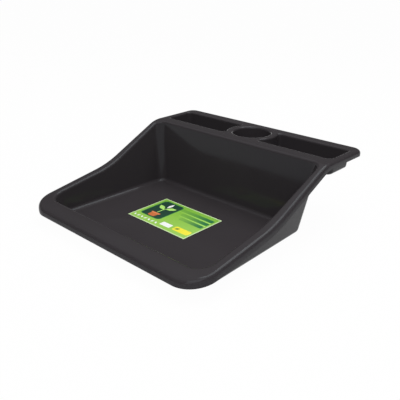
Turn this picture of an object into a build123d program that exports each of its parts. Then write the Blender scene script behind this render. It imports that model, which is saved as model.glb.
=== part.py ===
"""Potting tray: one hollow moulding with a bin, a rear shelf of two wells and a cup, and a floor label."""
from build123d import *
import math
import os

# Overall size of the moulding: X runs across, Y to the back, Z up, and the origin is under its middle
overall_width = 500.0
front_width = 491.0
overall_length = 507.0
overall_height = 149.0
wall = 2.2

# Side view: level shelf, steep side rim, shallow side rim down to the front lip
shelf_depth = 144.5
shoulder_setback = 2.0
knee_setback = 154.0
knee_height = 73.5
lip_height = 39.0
shoulder_round = 78.0
knee_round = 240.0

# Turned-down edge all round: how deep it hangs below the sides and front, and below the shelf
lip_drop = 15.5
shelf_lip_drop = 12.0
lip_round = 8.0
front_corner_round = 54.0
back_corner_round = 22.0

# Bin: how far its floor lies inside the moulding's edge, and the slope of its walls
bin_front_margin = 48.0
bin_back_margin = 12.3
bin_front_side_margin = 29.4
bin_back_side_margin = 41.6
side_draft = 9.6
front_draft = 12.0
back_draft = 7.3
floor_round = 9.0
bin_front_corner = 32.0
bin_back_corner = 20.0
bin_edge_round = 7.0

# Shelf wells
well_front_margin = 38.5
well_back_margin = 30.0
well_end_margin = 17.8
well_depth = 38.0
well_draft = 4.0
well_front_corner = 14.0
well_back_corner = 9.0
well_inner_corner = 7.0
well_floor_round = 5.0
well_edge_round = 4.5

# Round cup between the wells
cup_radius = 43.0
cup_setback = 81.0
cup_web = 17.0
cup_depth = 52.0
cup_draft = 4.0
cup_floor_round = 6.0
cup_edge_round = 6.0

# Label on the bin floor
label_width = 172.5
label_depth = 115.0
label_thickness = 0.3
label_corner = 1.5
label_setback = 148.0
label_offset = 23.0
label_turn = -0.4

# How far a cut runs past the face that it opens, how close a point counts as on a face,
# and the tilt up to which a face counts as top skin
overrun = 10.0
touch = 0.01
skin_tilt = 60.0

# Places that follow from the sizes
front_y = -overall_length / 2
back_y = overall_length / 2
crest_y = back_y - shelf_depth
knee_y = crest_y - knee_setback
shoulder_y = crest_y + shoulder_setback
cup_y = crest_y + cup_setback
floor_front_y = front_y + bin_front_margin
floor_back_y = crest_y - bin_back_margin


def moulding_half(y):
    """Half of the moulding's width at a place along it, before its corners are rounded."""
    share = (y - front_y) / overall_length
    return front_width / 2 + share * (overall_width - front_width) / 2


def moulding_outline(inset):
    """Plan of the moulding, drawn in from its edge by inset."""
    front_half = moulding_half(front_y) - inset
    back_half = moulding_half(back_y) - inset
    with BuildSketch() as plan:
        with BuildLine():
            Polyline(
                (-front_half, front_y + inset),
                (front_half, front_y + inset),
                (back_half, back_y - inset),
                (-back_half, back_y - inset),
                close=True,
            )
        make_face()
        fillet(plan.vertices().group_by(Axis.Y)[0], front_corner_round - inset)
        fillet(plan.vertices().group_by(Axis.Y)[-1], back_corner_round - inset)
    return plan.sketch


def side_profile(drop, shelf_drop):
    """Side view of the moulding, run out past both ends.

    Its upper line lies lower by drop along the rims and by shelf_drop along the shelf.
    """
    reach = back_y + overrun
    shallow = (knee_height - lip_height) / (knee_y - front_y)
    steep = (overall_height - knee_height) / (shoulder_y - knee_y)
    turn_y = shoulder_y + (drop - shelf_drop) / steep
    with BuildSketch(Plane.YZ) as view:
        with BuildLine():
            upper = FilletPolyline(
                (-reach, lip_height - shallow * (reach + front_y) - drop),
                (knee_y, knee_height - drop),
                (turn_y, overall_height - shelf_drop),
                (reach, overall_height - shelf_drop),
                radius=[knee_round, shoulder_round],
            )
            Polyline(upper @ 1, (reach, -overrun), (-reach, -overrun), upper @ 0)
        make_face()
    return view.sketch


def walls_of(form):
    """Faces of a block between its bottom and its top, from front to back."""
    return form.faces().sort_by(Axis.Z)[1:-1].sort_by(Axis.Y)


def uprights_of(form):
    """Edges of a block that rise from its bottom to its top."""
    return form.edges().filter_by(lambda edge: edge.bounding_box().size.Z > touch)


def upright_at(form, x, y):
    """Rising edge of a block nearest to a place in its plan."""
    return uprights_of(form).sort_by(lambda edge: math.hypot(edge.center().X - x, edge.center().Y - y))[0]


def bin_form(grow):
    """Space of the bin, or with grow the outside of its walls."""
    low_y = floor_front_y - grow
    high_y = floor_back_y + grow
    low_half = moulding_half(floor_front_y) - bin_front_side_margin + grow
    high_half = moulding_half(floor_back_y) - bin_back_side_margin + grow
    floor = Plane.XY.offset(wall)
    with BuildPart() as form:
        with BuildSketch(Plane.XY.offset(wall - grow)):
            with BuildLine():
                Polyline(
                    (-low_half, low_y), (low_half, low_y), (high_half, high_y), (-high_half, high_y), close=True
                )
            make_face()
        extrude(amount=overall_height + overrun)
        draft(walls_of(form)[0], floor, -front_draft)
        draft(walls_of(form)[1:3], floor, -side_draft)
        draft(walls_of(form)[-1], floor, -back_draft)
        for side in (-1, 1):
            fillet(upright_at(form, side * low_half, low_y), bin_front_corner + grow)
            fillet(upright_at(form, side * high_half, high_y), bin_back_corner + grow)
        fillet(form.faces().sort_by(Axis.Z)[0].edges(), floor_round + grow)
    return form.part


def well_form(grow):
    """Space of the right well, or with grow the outside of its walls."""
    low_y = crest_y + well_front_margin - grow
    high_y = back_y - well_back_margin + grow
    end_x = overall_width / 2 - well_end_margin + grow
    depth = well_depth - wall + grow
    shelf = Plane.XY.offset(overall_height)
    with BuildPart() as form:
        with BuildSketch(Plane.XY.offset(overall_height - depth)):
            with Locations((0, low_y)):
                Rectangle(end_x, high_y - low_y, align=(Align.MIN, Align.MIN))
            with Locations((0, cup_y)):
                Circle(cup_radius + cup_web - grow, mode=Mode.SUBTRACT)
        extrude(amount=depth + overrun)
        draft(walls_of(form), shelf, -well_draft)
        fillet(uprights_of(form).sort_by(Axis.X)[:2], well_inner_corner + grow)
        fillet(upright_at(form, end_x, low_y), well_front_corner + grow)
        fillet(upright_at(form, end_x, high_y), well_back_corner + grow)
        fillet(form.faces().sort_by(Axis.Z)[0].edges(), well_floor_round + grow)
    return form.part


def cup_form(grow):
    """Space of the cup, or with grow the outside of its wall."""
    depth = cup_depth - wall + grow
    with BuildPart() as form:
        with BuildSketch(Plane.XY.offset(overall_height)) as plan:
            with Locations((0, cup_y)):
                Circle(cup_radius + grow)
        extrude(amount=-depth, taper=cup_draft)
        fillet(form.faces().sort_by(Axis.Z)[0].edges(), cup_floor_round + grow)
        extrude(plan.sketch, amount=overrun)
    return form.part


def upward(faces):
    """Faces of a moulding block that look up, from lip to shelf."""
    return faces.filter_by(lambda face: face.normal_at().Z > math.cos(math.radians(skin_tilt)))


def moulding_block(inset, drop, shelf_drop, start=0.0):
    """Solid under the top skin, drawn in by inset and lowered by the drops, from the height start up."""
    with BuildPart() as block:
        extrude(moulding_outline(inset).moved(Location((0, 0, start))), amount=overall_height + overrun)
        extrude(side_profile(drop, shelf_drop), amount=overall_width, both=True, mode=Mode.INTERSECT)
    return block.part


def edges_on(edges, skin):
    """Edges whose middle lies on one of the skin faces."""
    return edges.filter_by(lambda edge: min(face.distance_to(edge @ 0.5) for face in skin) < touch)


def border(faces):
    """Edges that belong to only one of the faces."""
    edges = ShapeList(edge for face in faces for edge in face.edges())
    return edges.filter_by(lambda edge: sum(edge.is_same(other) for other in edges) == 1)


def hollows(grow):
    """Bin, wells and cup, each with the radius that rounds its upper edge."""
    well = well_form(grow)
    return [
        (bin_form(grow), bin_edge_round - grow),
        (well, well_edge_round - grow),
        (well.mirror(Plane.YZ), well_edge_round - grow),
        (cup_form(grow), cup_edge_round - grow),
    ]


full_block = moulding_block(0.0, 0.0, 0.0)
under_block = moulding_block(wall, wall, wall, -overrun)
under_lip = moulding_block(-overrun, lip_drop, shelf_lip_drop, -overrun)
hollows_inside = hollows(0.0)
hollows_outside = hollows(wall)

# Air under the moulding: it follows the top skin and the hollows one wall away
with BuildPart() as underside:
    add(under_block)
    skin = upward(underside.faces())
    fillet(border(skin), lip_round - wall)
    add(under_lip)
    for form, edge_round in hollows_outside:
        add(form, mode=Mode.SUBTRACT)
        fillet(edges_on(underside.edges(Select.LAST), skin), edge_round)

with BuildPart() as tray_shell:
    add(full_block)
    skin = upward(tray_shell.faces())
    fillet(border(skin), lip_round)
    for form, edge_round in hollows_inside:
        add(form, mode=Mode.SUBTRACT)
        fillet(edges_on(tray_shell.edges(Select.LAST), skin), edge_round)
    add(underside.part, mode=Mode.SUBTRACT)
tray_shell.part.label = "tray_shell"

with BuildPart() as label:
    with BuildSketch(Plane.XY.offset(wall)):
        with Locations(Location((-label_offset, crest_y - label_setback), label_turn)):
            RectangleRounded(label_width, label_depth, label_corner)
    extrude(amount=label_thickness)
label.part.label = "label"

os.makedirs("parts", exist_ok=True)
export_step(tray_shell.part, "parts/tray_shell.step")
export_step(label.part, "parts/label.step")
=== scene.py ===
"""Potting tray of black moulded plastic with a printed sheet on its bin floor, in a pale studio.

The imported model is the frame: metres, X across, Y to the back, Z up, the origin under the tray's
middle.
"""

import logging
import math
from dataclasses import dataclass, field
from enum import Enum

import bpy
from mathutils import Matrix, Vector


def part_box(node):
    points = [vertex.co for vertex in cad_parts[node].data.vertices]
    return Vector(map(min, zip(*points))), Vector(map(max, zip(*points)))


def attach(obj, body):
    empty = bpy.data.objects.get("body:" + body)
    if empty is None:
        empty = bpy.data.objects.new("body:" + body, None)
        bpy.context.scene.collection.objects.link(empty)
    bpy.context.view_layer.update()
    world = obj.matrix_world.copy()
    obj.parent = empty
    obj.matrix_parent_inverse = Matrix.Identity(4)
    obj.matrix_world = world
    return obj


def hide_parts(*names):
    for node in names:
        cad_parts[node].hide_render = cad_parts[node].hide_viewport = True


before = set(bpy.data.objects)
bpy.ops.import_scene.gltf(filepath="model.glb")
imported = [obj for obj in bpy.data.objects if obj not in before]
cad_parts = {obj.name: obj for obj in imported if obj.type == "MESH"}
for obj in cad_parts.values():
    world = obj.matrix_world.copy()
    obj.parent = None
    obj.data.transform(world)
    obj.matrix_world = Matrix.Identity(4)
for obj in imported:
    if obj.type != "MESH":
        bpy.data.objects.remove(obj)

log = logging.getLogger("potting_tray")

ROOT_BODY = "root"
MM = 0.001

# Edges that turn by more than this stay sharp
SHARP = math.radians(40.0)

# Nearly all of a noise's value lies between these
NOISE_SPAN = (0.3, 0.7)

Colour = tuple[float, float, float]
Pair = tuple[float, float]
Socket = bpy.types.NodeSocket


class Node(Enum):
    """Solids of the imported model."""

    TRAY = "tray_shell"
    LABEL = "label"


class Slot(Enum):
    """Material slots of the record."""

    PLASTIC = "black_plastic"
    PRINT = "printed_label"


def select_only(piece: bpy.types.Object) -> None:
    """Clear the selection, then select one piece and make it the active one.

    Args:
        piece: the piece to select.
    """
    bpy.ops.object.select_all(action="DESELECT")
    piece.select_set(True)
    bpy.context.view_layer.objects.active = piece


def apply_modifiers(piece: bpy.types.Object) -> None:
    """Apply every modifier of a piece, in order.

    Args:
        piece: the piece to finish.
    """
    select_only(piece)
    for name in [modifier.name for modifier in piece.modifiers]:
        bpy.ops.object.modifier_apply(modifier=name)


def settle(piece: bpy.types.Object) -> None:
    """Move a piece's place into its mesh, so that its object sits at the origin.

    Args:
        piece: the piece to finish.
    """
    select_only(piece)
    bpy.ops.object.transform_apply(location=True, rotation=True, scale=True)


@dataclass(frozen=True)
class Cloud:
    """A cloudy pattern: how many clouds a metre holds, and how many finer layers there are."""

    scale: float
    layers: float


class NodeTree:
    """A material's nodes, added and linked in plain steps."""

    def __init__(self, material: bpy.types.Material) -> None:
        """Start from an empty tree with an output.

        Args:
            material: the material to fill.
        """
        material.use_nodes = True
        self.nodes = material.node_tree.nodes
        self.links = material.node_tree.links
        self.nodes.clear()
        self.output = self.nodes.new("ShaderNodeOutputMaterial")

    def set(self, socket: Socket, value: object) -> None:
        """Link a socket to another one, or give it a constant.

        Args:
            socket: the input to set.
            value: a socket, or a constant of the input's kind.
        """
        if isinstance(value, bpy.types.NodeSocket):
            self.links.new(value, socket)
        else:
            socket.default_value = value

    def math(self, operation: str, *values: object) -> Socket:
        """Work out a number.

        Args:
            operation: Blender's name for the sum.
            values: sockets or numbers, in order.

        Returns:
            The result.
        """
        node = self.nodes.new("ShaderNodeMath")
        node.operation = operation
        for socket, value in zip(node.inputs, values):
            self.set(socket, value)
        return node.outputs[0]

    def vector(self, operation: str, *values: object) -> Socket:
        """Work out a vector, or a length.

        Args:
            operation: Blender's name for the sum.
            values: sockets or vectors, in order.

        Returns:
            The result.
        """
        node = self.nodes.new("ShaderNodeVectorMath")
        node.operation = operation
        for socket, value in zip(node.inputs, values):
            self.set(socket, value)
        return node.outputs["Value" if operation == "LENGTH" else "Vector"]

    def parts(self, point: Socket) -> bpy.types.NodeOutputs:
        """Take a point apart.

        Args:
            point: the point.

        Returns:
            Its three numbers, by the names X, Y and Z.
        """
        node = self.nodes.new("ShaderNodeSeparateXYZ")
        self.set(node.inputs[0], point)
        return node.outputs

    def place(self) -> Socket:
        """Return the point on the piece, in the frame."""
        return self.nodes.new("ShaderNodeTexCoord").outputs["Object"]

    def local(self, source: Socket, centre: Pair, turn: float, scale: Pair) -> Socket:
        """Centre, turn and scale a pattern.

        Args:
            source: the point to start from.
            centre: the pattern's middle, in the source's units.
            turn: its turn about Z, in radians.
            scale: the source's units that one of the pattern's takes, along each way.

        Returns:
            The point in the pattern's own directions.
        """
        node = self.nodes.new("ShaderNodeMapping")
        node.vector_type = "TEXTURE"
        node.inputs["Location"].default_value = (*centre, 0.0)
        node.inputs["Rotation"].default_value = (0.0, 0.0, turn)
        node.inputs["Scale"].default_value = (*scale, 1.0)
        self.set(node.inputs["Vector"], source)
        return node.outputs[0]

    def noise(self, cloud: Cloud) -> Socket:
        """Add a cloudy pattern at the point on the piece.

        Args:
            cloud: the pattern.

        Returns:
            A value about one half.
        """
        node = self.nodes.new("ShaderNodeTexNoise")
        node.inputs["Scale"].default_value = cloud.scale
        node.inputs["Detail"].default_value = cloud.layers
        self.set(node.inputs["Vector"], self.place())
        return node.outputs["Fac"]

    def remap(self, value: Socket, span: Pair, result: Pair) -> Socket:
        """Turn one range smoothly into another.

        Args:
            value: the number to turn.
            span: where the first range starts and ends.
            result: what its start and its end become.

        Returns:
            The number in the second range.
        """
        node = self.nodes.new("ShaderNodeMapRange")
        node.interpolation_type = "SMOOTHSTEP"
        for socket, number in zip(node.inputs, (value, *span, *result)):
            self.set(socket, number)
        return node.outputs[0]

    def blend(self, share: Socket, first: object, second: object) -> Socket:
        """Mix two colours.

        Args:
            share: how much of the second shows.
            first: a colour, or a socket with one.
            second: a colour, or a socket with one.

        Returns:
            The mixed colour.
        """
        node = self.nodes.new("ShaderNodeMix")
        node.data_type = "RGBA"
        colours = [socket for socket in node.inputs if socket.type == "RGBA"]
        self.set(node.inputs[0], share)
        for socket, colour in zip(colours, (first, second)):
            self.set(socket, (*colour, 1.0) if isinstance(colour, tuple) else colour)
        return next(socket for socket in node.outputs if socket.type == "RGBA")

    def bump(self, height: Socket, distance: float, below: Socket | None = None) -> Socket:
        """Raise the surface a little.

        Args:
            height: the pattern of the relief, from 0 to 1.
            distance: the relief's height in metres.
            below: the relief that this one lies on, or None.

        Returns:
            The surface's direction.
        """
        node = self.nodes.new("ShaderNodeBump")
        node.inputs["Distance"].default_value = distance
        self.set(node.inputs["Height"], height)
        if below is not None:
            self.set(node.inputs["Normal"], below)
        return node.outputs[0]

    def shader(self, **values: object) -> bpy.types.ShaderNode:
        """Add the surface's shader and link it to the output.

        Args:
            values: constants for the shader's own sockets, by name with _ for a space.

        Returns:
            The shader.
        """
        node = self.nodes.new("ShaderNodeBsdfPrincipled")
        for name, value in values.items():
            node.inputs[name.replace("_", " ")].default_value = value
        self.links.new(node.outputs[0], self.output.inputs["Surface"])
        return node


@dataclass(frozen=True)
class MouldedPlastic:
    """Satin black plastic, with a fine grain and the slight waves that a cooled moulding has.

    The gloss varies in finer clouds than the colour, at a scale where the two don't line up.
    """

    name: str = "moulded_black_plastic"
    dark: Colour = (0.0338, 0.0302, 0.0326)
    light: Colour = (0.0385, 0.0343, 0.0376)
    colour_cloud: Cloud = Cloud(7.0, 4.0)
    roughness: Pair = (0.08, 0.13)
    gloss_cloud: Cloud = Cloud(7.0 * math.e, 5.0)
    specular: float = 0.125
    gloss_tint: Colour = (0.82, 0.94, 1.0)
    wave: Cloud = Cloud(16.0, 1.0)
    wave_height: float = 0.0001
    grain: Cloud = Cloud(420.0, 1.0)
    grain_height: float = 0.0000025

    def material(self) -> bpy.types.Material:
        """Build the finish.

        Returns:
            The material.
        """
        material = bpy.data.materials.new(self.name)
        tree = NodeTree(material)
        colour = tree.blend(tree.noise(self.colour_cloud), self.dark, self.light)
        roughness = tree.remap(tree.noise(self.gloss_cloud), NOISE_SPAN, self.roughness)
        waves = tree.bump(tree.noise(self.wave), self.wave_height)
        grain = tree.bump(tree.noise(self.grain), self.grain_height, waves)
        surface = tree.shader(
            Specular_IOR_Level=self.specular,
            Specular_Tint=(*self.gloss_tint, 1.0),
        )
        tree.set(surface.inputs["Base Color"], colour)
        tree.set(surface.inputs["Roughness"], roughness)
        tree.set(surface.inputs["Normal"], grain)
        return material


@dataclass(frozen=True)
class Patch:
    """A rounded bar or panel of the print, in millimetres from the sheet's middle.

    A patch that fades is faint at its left end.
    """

    centre: Pair
    size: Pair
    colour: Colour
    corner: float = 2.0
    fades: bool = False
    faint: float = 0.25
    soft_edge: float = 0.35

    def mask(self, tree: NodeTree, place: Socket) -> Socket:
        """Work out where the patch shows.

        Args:
            tree: the print's nodes.
            place: the point on the sheet, in millimetres.

        Returns:
            One on the patch and zero beside it.
        """
        inner = tuple(length / 2 - self.corner for length in self.size)
        flat = tree.vector("MULTIPLY", place, (1.0, 1.0, 0.0))
        offset = tree.vector("ABSOLUTE", tree.vector("SUBTRACT", flat, (*self.centre, 0.0)))
        past = tree.vector("SUBTRACT", offset, (*inner, 0.0))
        beyond = tree.vector("MAXIMUM", past, (0.0, 0.0, 0.0))
        rim = (self.corner, self.corner + self.soft_edge)
        shown = tree.remap(tree.vector("LENGTH", beyond), rim, (1.0, 0.0))
        if not self.fades:
            return shown
        left = self.centre[0] - self.size[0] / 2
        length = (left, left + self.size[0])
        return tree.math(
            "MULTIPLY", shown, tree.remap(tree.parts(place)["X"], length, (self.faint, 1.0))
        )


@dataclass(frozen=True)
class Leaf:
    """A pointed oval of the print's seedling, in millimetres from the sheet's middle.

    A lower power of its outline makes its tips more pointed.
    """

    centre: Pair
    size: Pair
    turn: float
    colour: Colour
    power: float = 1.6
    soft_edge: Pair = (0.95, 1.03)

    def mask(self, tree: NodeTree, place: Socket) -> Socket:
        """Work out where the leaf shows.

        Args:
            tree: the print's nodes.
            place: the point on the sheet, in millimetres.

        Returns:
            One on the leaf and zero beside it.
        """
        half = (self.size[0] / 2, self.size[1] / 2)
        local = tree.parts(tree.local(place, self.centre, math.radians(self.turn), half))
        along = tree.math("ABSOLUTE", local["X"])
        across = tree.math("ABSOLUTE", local["Y"])
        outline = tree.math("ADD", tree.math("POWER", along, self.power), across)
        return tree.remap(outline, self.soft_edge, (1.0, 0.0))


@dataclass(frozen=True)
class PrintedSheet:
    """Semi-gloss printed sheet: a green field with bars, a panel with a seedling, and blank tabs.

    Its centre is in metres in the frame. Its size and its print are in millimetres.
    """

    name: str = "printed_sheet"
    centre: Pair = (-0.023, -0.039)
    turn: float = math.radians(-0.4)
    size: Pair = (172.5, 115.0)
    margin: float = 3.0
    field_corner: float = 1.0
    border: Colour = (0.53, 0.70, 0.37)
    field_back: Colour = (0.20, 0.455, 0.045)
    field_front: Colour = (0.277, 0.53, 0.076)
    forest: Colour = (0.012, 0.15, 0.045)
    deep: Colour = (0.012, 0.05, 0.03)
    soil: Colour = (0.06, 0.030, 0.016)
    pale_leaf: Colour = (0.42, 0.76, 0.17)
    yellow: Colour = (0.80, 0.72, 0.03)
    blank: Colour = (0.80, 0.82, 0.80)
    terracotta: Colour = (0.55, 0.15, 0.045)
    pot_rim: Colour = (0.68, 0.22, 0.08)
    sprigs: int = 7
    sprig_start: Pair = (-76.0, -45.0)
    sprig_step: float = 11.0
    sprig_size: Pair = (10.0, 4.6)
    sprig_turns: Pair = (125.0, 55.0)
    specular: float = 0.4
    roughness: Pair = (0.34, 0.44)
    fibre: Cloud = Cloud(900.0, 3.0)
    fibre_height: float = 0.000004

    def motifs(self) -> list[Patch | Leaf]:
        """List what is printed on the field.

        Returns:
            The patches and leaves, from the lowest layer up.
        """
        return [
            Patch((32.0, 38.0), (94.0, 11.0), self.forest, 3.0, fades=True),
            Patch((32.0, 29.5), (94.0, 1.6), self.pale_leaf, 0.7, fades=True),
            Patch((40.0, 21.0), (78.0, 11.0), self.forest, 3.0, fades=True),
            Patch((40.0, 12.5), (78.0, 1.6), self.pale_leaf, 0.7, fades=True),
            Patch((46.0, 4.0), (66.0, 11.0), self.forest, 3.0, fades=True),
            Patch((-46.0, 8.0), (60.0, 82.0), self.forest, 9.0),
            Patch((-46.0, 8.0), (55.0, 77.0), self.deep, 7.0),
            Patch((-46.0, -21.0), (19.0, 15.0), self.terracotta, 3.0),
            Patch((-46.0, -12.0), (25.0, 5.0), self.pot_rim, 1.5),
            Patch((-46.0, -8.6), (19.0, 2.2), self.soil, 1.0),
            Patch((-46.0, 4.0), (2.0, 24.0), self.pale_leaf, 0.9),
            Leaf((-58.0, 18.0), (27.0, 12.0), 148.0, self.pale_leaf),
            Leaf((-34.0, 22.0), (27.0, 12.0), 32.0, self.pale_leaf),
            Leaf((-46.0, 33.0), (24.0, 9.0), 90.0, self.blank),
            Patch((58.0, -35.0), (44.0, 17.0), self.yellow, 4.0),
            Leaf((45.0, -35.0), (12.0, 6.0), 40.0, self.forest),
            Patch((14.0, -37.0), (28.0, 14.0), self.blank, 1.0),
            *self.sprig_row(),
        ]

    def sprig_row(self) -> list[Leaf]:
        """List the row of small leaves near the sheet's front left edge, which lean in turn.

        Returns:
            The leaves, from left to right.
        """
        start, height = self.sprig_start
        return [
            Leaf(
                (start + self.sprig_step * number, height),
                self.sprig_size,
                self.sprig_turns[number % 2],
                self.blank,
            )
            for number in range(self.sprigs)
        ]

    def material(self) -> bpy.types.Material:
        """Build the print.

        Returns:
            The material.
        """
        material = bpy.data.materials.new(self.name)
        tree = NodeTree(material)
        place = tree.local(tree.place(), self.centre, self.turn, (MM, MM))
        half = self.size[1] / 2
        forward = tree.remap(tree.parts(place)["Y"], (-half, half), (1.0, 0.0))
        field_print = tree.blend(forward, self.field_back, self.field_front)
        for motif in self.motifs():
            field_print = tree.blend(motif.mask(tree, place), field_print, motif.colour)
        inside = tuple(length - 2 * self.margin for length in self.size)
        printed = Patch((0.0, 0.0), inside, self.border, self.field_corner).mask(tree, place)
        fibre = tree.noise(self.fibre)
        surface = tree.shader(Specular_IOR_Level=self.specular)
        tree.set(surface.inputs["Base Color"], tree.blend(printed, self.border, field_print))
        tree.set(surface.inputs["Roughness"], tree.remap(fibre, NOISE_SPAN, self.roughness))
        tree.set(surface.inputs["Normal"], tree.bump(fibre, self.fibre_height))
        return material


@dataclass
class Moulding:
    """The tray itself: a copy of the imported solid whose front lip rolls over, in its plastic.

    The lip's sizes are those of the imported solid, in metres: how high its top plane stands at
    the front edge, how steeply that plane rises to the back, how far back it reaches, and how
    deep below it the level skins end and the turned-down edge ends. A face counts as level
    where its normal's height is over flat, and corners nearer than merge are made one.

    The roll lowers the front edge by roll_drop and fades out roll_reach behind it, in even
    strips. The higher roll_power is, the more of it lies close to the edge.
    """

    finish: MouldedPlastic = field(default_factory=MouldedPlastic)
    merge: float = 0.000001
    lip_height: float = 0.039
    lip_slope: float = 0.0345 / 0.2085
    lip_run: float = 0.25
    skin_depth: float = 0.008
    skirt_depth: float = 0.0155
    flat: float = 0.98
    strips: int = 12
    roll_reach: float = 0.034
    roll_drop: float = 0.0065
    roll_power: int = 3

    def build(self) -> bpy.types.Object:
        """Model the moulding and dress it.

        Returns:
            The finished moulding.
        """
        moulding = self.copy_packed()
        self.roll_lip(moulding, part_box(Node.TRAY.value)[0].y)
        self.smooth(moulding)
        moulding.data.materials.clear()
        moulding.data.materials.append(self.finish.material())
        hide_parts(Node.TRAY.value)
        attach(moulding, ROOT_BODY)
        return moulding

    def copy_packed(self) -> bpy.types.Object:
        """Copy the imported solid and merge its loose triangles.

        Returns:
            The copy, selected.
        """
        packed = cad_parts[Node.TRAY.value]
        moulding = bpy.data.objects.new("tray_moulding", packed.data.copy())
        bpy.context.scene.collection.objects.link(moulding)
        select_only(moulding)
        bpy.ops.mesh.customdata_custom_splitnormals_clear()
        bpy.ops.object.mode_set(mode="EDIT")
        bpy.ops.mesh.select_mode(type="FACE")
        bpy.ops.mesh.select_all(action="SELECT")
        bpy.ops.mesh.remove_doubles(threshold=self.merge)
        bpy.ops.object.mode_set(mode="OBJECT")
        return moulding

    def roll_lip(self, moulding: bpy.types.Object, front: float) -> None:
        """Divide the lip's level faces into strips and sink them towards the front edge.

        Args:
            moulding: the moulding.
            front: where its front edge is, along Y.
        """
        for strip in range(1, self.strips + 1):
            self.cut(moulding, front, front + self.roll_reach * strip / self.strips)
        bpy.ops.object.mode_set(mode="EDIT")
        bpy.ops.mesh.select_all(action="SELECT")
        bpy.ops.mesh.quads_convert_to_tris(quad_method="BEAUTY", ngon_method="BEAUTY")
        bpy.ops.object.mode_set(mode="OBJECT")
        for vertex in moulding.data.vertices:
            vertex.co.z -= self.sink(vertex.co, front)

    def cut(self, moulding: bpy.types.Object, front: float, place: float) -> None:
        """Cut the lip's level faces, above and below, along one line across the tray.

        Args:
            moulding: the moulding.
            front: where its front edge is, along Y.
            place: where the line lies, along Y.
        """
        for face in moulding.data.polygons:
            near = face.center.y < front + self.lip_run
            high = self.depth(face.center, front) < self.skin_depth
            face.select = near and high and abs(face.normal.z) > self.flat
        bpy.ops.object.mode_set(mode="EDIT")
        bpy.ops.mesh.bisect(plane_co=(0.0, place, 0.0), plane_no=(0.0, 1.0, 0.0))
        bpy.ops.mesh.select_all(action="DESELECT")
        bpy.ops.object.mode_set(mode="OBJECT")

    def depth(self, point: Vector, front: float) -> float:
        """Return how far a point lies below the lip's top plane."""
        return self.lip_height + self.lip_slope * (point.y - front) - point.z

    def sink(self, point: Vector, front: float) -> float:
        """Work out how far a point goes down when the lip is rolled over.

        Args:
            point: the point, in the frame.
            front: where the moulding's front edge is, along Y.

        Returns:
            The way down in metres: all of it on the level skins at the front edge, less towards
            the back, and less down to the foot of the turned-down edge, which stays.
        """
        share = max(0.0, 1 - (point.y - front) / self.roll_reach)
        above_foot = self.skirt_depth - self.depth(point, front)
        hold = above_foot / (self.skirt_depth - self.skin_depth)
        return self.roll_drop * share**self.roll_power * min(1.0, max(0.0, hold))

    def smooth(self, moulding: bpy.types.Object) -> None:
        """Shade the rounded faces as one and keep the level faces level.

        Args:
            moulding: the moulding.
        """
        bpy.ops.object.shade_smooth_by_angle(angle=SHARP)
        weigh = moulding.modifiers.new("level_faces", "WEIGHTED_NORMAL")
        weigh.keep_sharp = True
        apply_modifiers(moulding)


@dataclass
class LabelSheet:
    """The printed sheet, modelled thin, with rounded corners and soft edges, in metres."""

    finish: PrintedSheet = field(default_factory=PrintedSheet)
    corner: float = 0.0015
    corner_steps: int = 4
    edge: float = 0.00008
    edge_steps: int = 2

    def build(self) -> bpy.types.Object:
        """Model the sheet on the bin floor and dress it.

        Returns:
            The finished sheet.
        """
        low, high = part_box(Node.LABEL.value)
        sheet = self.outline(((low.x + high.x) / 2, (low.y + high.y) / 2, low.z))
        bpy.ops.object.mode_set(mode="EDIT")
        bpy.ops.mesh.select_all(action="SELECT")
        bpy.ops.mesh.bevel(offset=self.corner, segments=self.corner_steps, affect="VERTICES")
        bpy.ops.mesh.extrude_region_move(
            TRANSFORM_OT_translate={"value": (0.0, 0.0, high.z - low.z)}
        )
        bpy.ops.mesh.select_all(action="SELECT")
        bpy.ops.mesh.normals_make_consistent(inside=False)
        bpy.ops.object.mode_set(mode="OBJECT")
        self.soften(sheet)
        sheet.data.materials.clear()
        sheet.data.materials.append(self.finish.material())
        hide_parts(Node.LABEL.value)
        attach(sheet, ROOT_BODY)
        return sheet

    def outline(self, centre: tuple[float, float, float]) -> bpy.types.Object:
        """Lay out the sheet's underside as one flat face.

        Args:
            centre: the middle of the underside, in the frame.

        Returns:
            The sheet, still flat.
        """
        bpy.ops.object.select_all(action="DESELECT")
        turn = (0.0, 0.0, self.finish.turn)
        bpy.ops.mesh.primitive_plane_add(size=1.0, location=centre, rotation=turn)
        sheet = bpy.context.object
        sheet.name = "label_sheet"
        sheet.scale = (self.finish.size[0] * MM, self.finish.size[1] * MM, 1.0)
        settle(sheet)
        return sheet

    def soften(self, sheet: bpy.types.Object) -> None:
        """Break the sheet's sharp edges and shade it.

        Args:
            sheet: the sheet.
        """
        edges = sheet.modifiers.new("soft_edges", "BEVEL")
        edges.width = self.edge
        edges.segments = self.edge_steps
        edges.limit_method = "ANGLE"
        apply_modifiers(sheet)
        bpy.ops.object.shade_smooth_by_angle(angle=SHARP)


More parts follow.
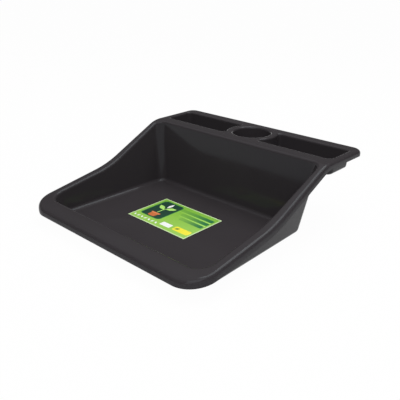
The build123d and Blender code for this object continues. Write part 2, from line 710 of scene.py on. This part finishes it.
@dataclass(frozen=True)
class StudioFloorFinish:
    """Near-white floor paint that keeps a faint shadow.

    The camera, gloss and glass see it mostly as white of its own, and all else sees the paint.
    """

    name: str = "studio_floor_paint"
    paint: Colour = (0.76, 0.76, 0.76)
    mottle: float = 0.01
    cloud: Cloud = Cloud(3.0, 2.0)
    own_white: float = 0.976

    def material(self) -> bpy.types.Material:
        """Build the finish.

        Returns:
            The material.
        """
        material = bpy.data.materials.new(self.name)
        tree = NodeTree(material)
        mottled = tuple(shade - self.mottle for shade in self.paint)
        paint = tree.nodes.new("ShaderNodeBsdfDiffuse")
        colour = tree.blend(tree.noise(self.cloud), self.paint, mottled)
        tree.set(paint.inputs["Color"], colour)
        white = tree.nodes.new("ShaderNodeEmission")
        path = tree.nodes.new("ShaderNodeLightPath").outputs
        seen = tree.math("MAXIMUM", path["Is Camera Ray"], path["Is Glossy Ray"])
        seen = tree.math("MAXIMUM", seen, path["Is Transmission Ray"])
        mix = tree.nodes.new("ShaderNodeMixShader")
        tree.set(mix.inputs[0], tree.math("MULTIPLY", seen, self.own_white))
        tree.set(mix.inputs[1], paint.outputs[0])
        tree.set(mix.inputs[2], white.outputs[0])
        tree.set(tree.output.inputs["Surface"], mix.outputs[0])
        return material


@dataclass(frozen=True)
class Lamp:
    """A broad square lamp that faces the tray, with its distance and side in metres.

    Its level is the brightness of its face, where 1 is white.
    """

    name: str
    way: tuple[float, float, float]
    distance: float
    size: float
    level: float

    def build(self) -> bpy.types.Object:
        """Add the lamp.

        Returns:
            The lamp.
        """
        data = bpy.data.lights.new(self.name, "AREA")
        data.shape = "SQUARE"
        data.size = self.size
        data.energy = self.level * math.pi * self.size**2
        lamp = bpy.data.objects.new(self.name, data)
        bpy.context.scene.collection.objects.link(lamp)
        toward = Vector(self.way).normalized()
        lamp.location = toward * self.distance
        lamp.rotation_euler = toward.to_track_quat("Z", "Y").to_euler()
        return lamp


@dataclass
class Studio:
    """A round floor with a raised rim, a soft sky and two broad lamps.

    The sky's level rises from low to high between the two heights of sky_rise, where 0 is the
    horizon and 1 is straight up.
    """

    finish: StudioFloorFinish = field(default_factory=StudioFloorFinish)
    radius: float = 14.0
    sides: int = 96
    rim_rise: float = 2.2
    rim_run: float = 1.5
    floor_gap: float = 0.0002
    sky_low: float = 0.096
    sky_high: float = 0.98
    sky_rise: Pair = (0.5, 0.9)
    lamps: tuple[Lamp, ...] = (
        Lamp("key", (0.08, 0.27, 0.96), 2.2, 1.5, 4.2),
        Lamp("fill", (0.36, -0.72, 0.75), 3.0, 2.6, 1.84),
    )

    def build(self) -> None:
        """Add the floor, the sky and the lamps."""
        self.floor()
        self.sky()
        for lamp in self.lamps:
            lamp.build()

    def floor(self) -> bpy.types.Object:
        """Add the floor just under the tray, inside a rim that slopes up to a low backdrop.

        Returns:
            The floor.
        """
        bpy.ops.object.select_all(action="DESELECT")
        bpy.ops.mesh.primitive_circle_add(
            vertices=self.sides,
            radius=self.radius,
            fill_type="NGON",
            location=(0.0, 0.0, self.rim_rise - self.floor_gap),
        )
        floor = bpy.context.object
        floor.name = "studio_floor"
        bpy.ops.object.mode_set(mode="EDIT")
        bpy.ops.mesh.select_all(action="SELECT")
        bpy.ops.mesh.inset(thickness=self.rim_run)
        bpy.ops.transform.translate(value=(0.0, 0.0, -self.rim_rise))
        bpy.ops.object.mode_set(mode="OBJECT")
        settle(floor)
        floor.data.materials.append(self.finish.material())
        return floor

    def sky(self) -> None:
        """Add a sky that is dim near the floor and bright overhead."""
        world = bpy.data.worlds.new("studio_sky")
        bpy.context.scene.world = world
        world.use_nodes = True
        nodes, links = world.node_tree.nodes, world.node_tree.links
        nodes.clear()
        parts = nodes.new("ShaderNodeSeparateXYZ")
        links.new(nodes.new("ShaderNodeTexCoord").outputs["Generated"], parts.inputs[0])
        level = nodes.new("ShaderNodeMapRange")
        level.interpolation_type = "SMOOTHSTEP"
        ranges = (*self.sky_rise, self.sky_low, self.sky_high)
        for socket, value in zip(level.inputs[1:5], ranges):
            socket.default_value = value
        links.new(parts.outputs["Z"], level.inputs[0])
        back = nodes.new("ShaderNodeBackground")
        links.new(level.outputs[0], back.inputs["Strength"])
        links.new(back.outputs[0], nodes.new("ShaderNodeOutputWorld").inputs["Surface"])


@dataclass(frozen=True)
class StudioCamera:
    """The camera that sees the tray from its front right corner, with its place in metres."""

    place: tuple[float, float, float] = (0.7395, -0.7642, 0.4999)
    tilt: float = math.radians(66.502)
    heading: float = math.radians(43.432)
    lens: float = 48.55
    sensor: float = 36.0

    def build(self) -> bpy.types.Object:
        """Add the camera and make it the scene's own.

        Returns:
            The camera.
        """
        data = bpy.data.cameras.new("studio_camera")
        data.lens = self.lens
        data.sensor_width = self.sensor
        data.sensor_fit = "HORIZONTAL"
        camera = bpy.data.objects.new("studio_camera", data)
        bpy.context.scene.collection.objects.link(camera)
        camera.location = self.place
        camera.rotation_euler = (self.tilt, 0.0, self.heading)
        bpy.context.scene.camera = camera
        return camera


def main() -> None:
    """Build the scene."""
    logging.basicConfig(level=logging.INFO, format="%(message)s")
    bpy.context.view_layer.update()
    bpy.context.scene.view_settings.view_transform = "Standard"
    for part in (Moulding(), LabelSheet()):
        piece = part.build()
        log.info("%s: %d faces", piece.name, len(piece.data.polygons))
    Studio().build()
    StudioCamera().build()


if __name__ == "__main__":
    main()
